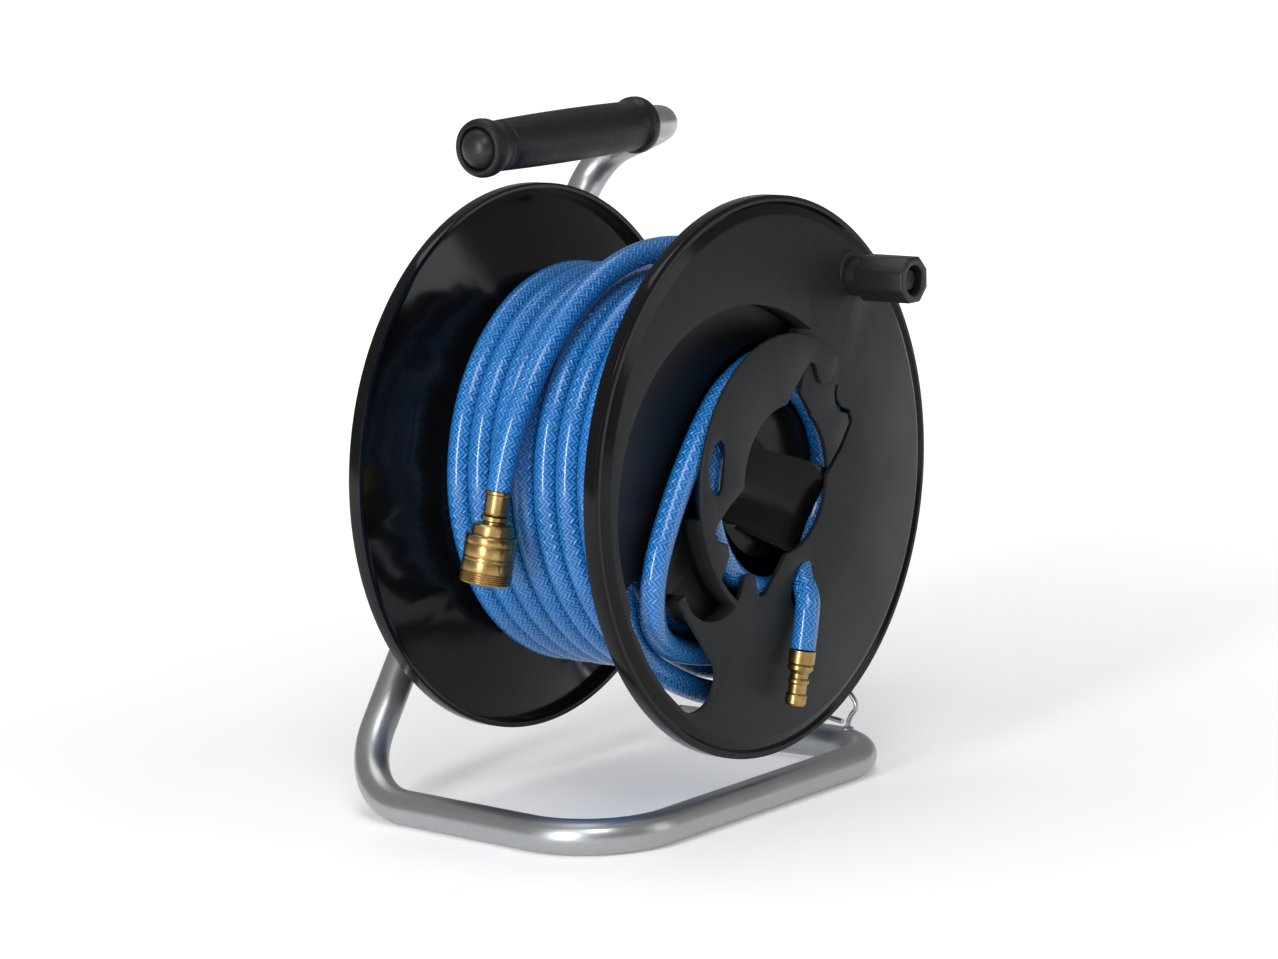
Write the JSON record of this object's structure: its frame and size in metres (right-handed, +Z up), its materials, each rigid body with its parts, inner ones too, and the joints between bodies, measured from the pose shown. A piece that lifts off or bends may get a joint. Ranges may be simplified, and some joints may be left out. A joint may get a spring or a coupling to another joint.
{
  "type": "compressed-air hose drum on a tube stand",
  "caption": "Portable hose drum: two dished flanges wound with blue air hose, brass couplings, winding knob and a one-piece bent tube stand with a black grip.",
  "frame": {"origin": "the ground under the middle of the stand and drum's box", "axes": "+Z up, the drum's axle along Y with the winding knob on the -Y side, X across the drum"},
  "size_m": [0.27, 0.231, 0.3372],
  "materials": {
    "tube_paint": "silver-grey satin powder coat",
    "grip_black": "matte black moulded grip",
    "cap_black": "matte black",
    "zinc_wire": "bright zinc",
    "zinc_steel": "zinc plated",
    "flange_black": "satin moulded field with a glossy rim",
    "core_black": "moulded",
    "boss_grey": "satin",
    "bush_white": "natural acetal",
    "knob_black": "satin",
    "hose_blue": "blue, glossy clear cover over a braid",
    "brass": "turned brass",
    "ball_steel": "polished",
    "spring_steel": "drawn wire",
    "seal_black": "nitrile"
  },
  "bodies": {
    "stand": {"frame_tube": "tube_paint", "handle_grip": "grip_black", "grip_end_cap": "cap_black", "foot_end_cap": "cap_black", "wire_eye": "zinc_wire", "axle_bolt": "zinc_steel", "saddle_washer": "zinc_steel", "saddle_spacer": "cap_black", "thrust_washer": "zinc_steel", "front_washer": "zinc_steel", "lock_nut": "zinc_steel"},
    "drum": {"front_flange": "flange_black", "rear_flange": "flange_black", "drum_core": "core_black", "front_flange_screws": "zinc_steel", "rear_flange_screws": "zinc_steel", "hub_boss": "boss_grey", "hose_retainer": "flange_black", "front_bush": "bush_white", "rear_bush": "bush_white", "knob_spindle": "zinc_steel", "spindle_nut": "zinc_steel", "knob_screw": "zinc_steel", "hose_winding": "hose_blue", "hose_outer_end": "hose_blue", "hose_channel_run": "hose_blue", "hose_hub_coil": "hose_blue", "hose_inner_end": "hose_blue", "hose_ferrule": "brass", "coupling_body": "brass", "valve_seal": "seal_black", "snap_ring": "spring_steel", "locking_balls": "ball_steel", "sleeve_spring": "spring_steel", "valve_spring": "spring_steel", "plug_ferrule": "brass", "plug_nipple": "brass"},
    "knob": {"winding_knob": "knob_black"},
    "sleeve": {"coupling_sleeve": "brass"},
    "valve": {"valve_poppet": "brass"}
  },
  "joints": [
    {"name": "drum_spin", "type": "hinge", "parent": "stand", "child": "drum", "pos_m": [0, -0.00195, 0.163], "axis": [0, 1, 0], "continuous": true},
    {"name": "knob_spin", "type": "hinge", "parent": "drum", "child": "knob", "pos_m": [0.06957, -0.10195, 0.25205], "axis": [0, 1, 0], "continuous": true},
    {"name": "sleeve_slide", "type": "slide", "parent": "drum", "child": "sleeve", "axis": [0.1502, -0.1202, 0.9813], "range_m": [0, 0.004], "stiffness_N_per_m": 1500, "springref_m": -0.004, "deforming": ["sleeve_spring"]},
    {"name": "valve_slide", "type": "slide", "parent": "drum", "child": "valve", "axis": [0.1502, -0.1202, 0.9813], "range_m": [0, 0.0024], "stiffness_N_per_m": 800, "springref_m": -0.003, "deforming": ["valve_spring"]}
  ]
}
